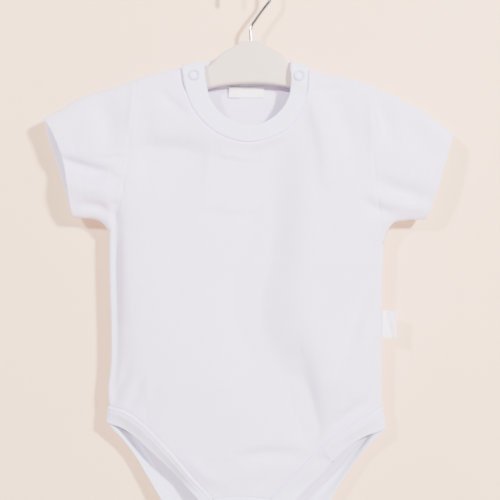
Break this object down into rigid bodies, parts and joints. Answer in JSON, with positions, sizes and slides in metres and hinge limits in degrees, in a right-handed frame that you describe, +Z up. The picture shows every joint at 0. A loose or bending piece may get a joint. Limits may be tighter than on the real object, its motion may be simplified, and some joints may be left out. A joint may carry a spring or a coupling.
{
  "type": "baby onesie on a hanger",
  "caption": "Short-sleeved cotton baby bodysuit with a ribbed neck, bound leg openings and snaps, hung on a moulded hanger with a wire hook.",
  "frame": {"origin": "the inside of the top of the hanger's hook, where it rests on a rail or peg", "axes": "+Z up, along the hook's shank; -Y is the way the garment's front faces; +X to the right as seen from the front"},
  "size_m": [0.3377, 0.0268, 0.4707],
  "materials": {
    "jersey": "fine cotton jersey, matt, white with a faint lilac cast",
    "rib": "one by one cotton rib, matt, white",
    "snap": "pale lilac-white enamelled ring snap",
    "label": "woven satin ribbon, blank",
    "hanger": "moulded plastic, cream, satin",
    "hook": "bright plated wire"
  },
  "bodies": {
    "root": {"front_panel": "jersey", "back_panel": "jersey", "sleeve_left": "jersey", "sleeve_right": "jersey", "neck_band_front": "rib", "neck_band_back": "rib", "leg_binding_left": "rib", "leg_binding_right": "rib", "crotch_placket_front": "rib", "crotch_placket_back": "rib", "shoulder_snap_left": "snap", "shoulder_snap_right": "snap", "crotch_snap_left": "snap", "crotch_snap_middle": "snap", "crotch_snap_right": "snap", "neck_label": "label", "side_label": "label", "hanger_body": "hanger", "hanger_hook": "hook"}
  },
  "joints": []
}
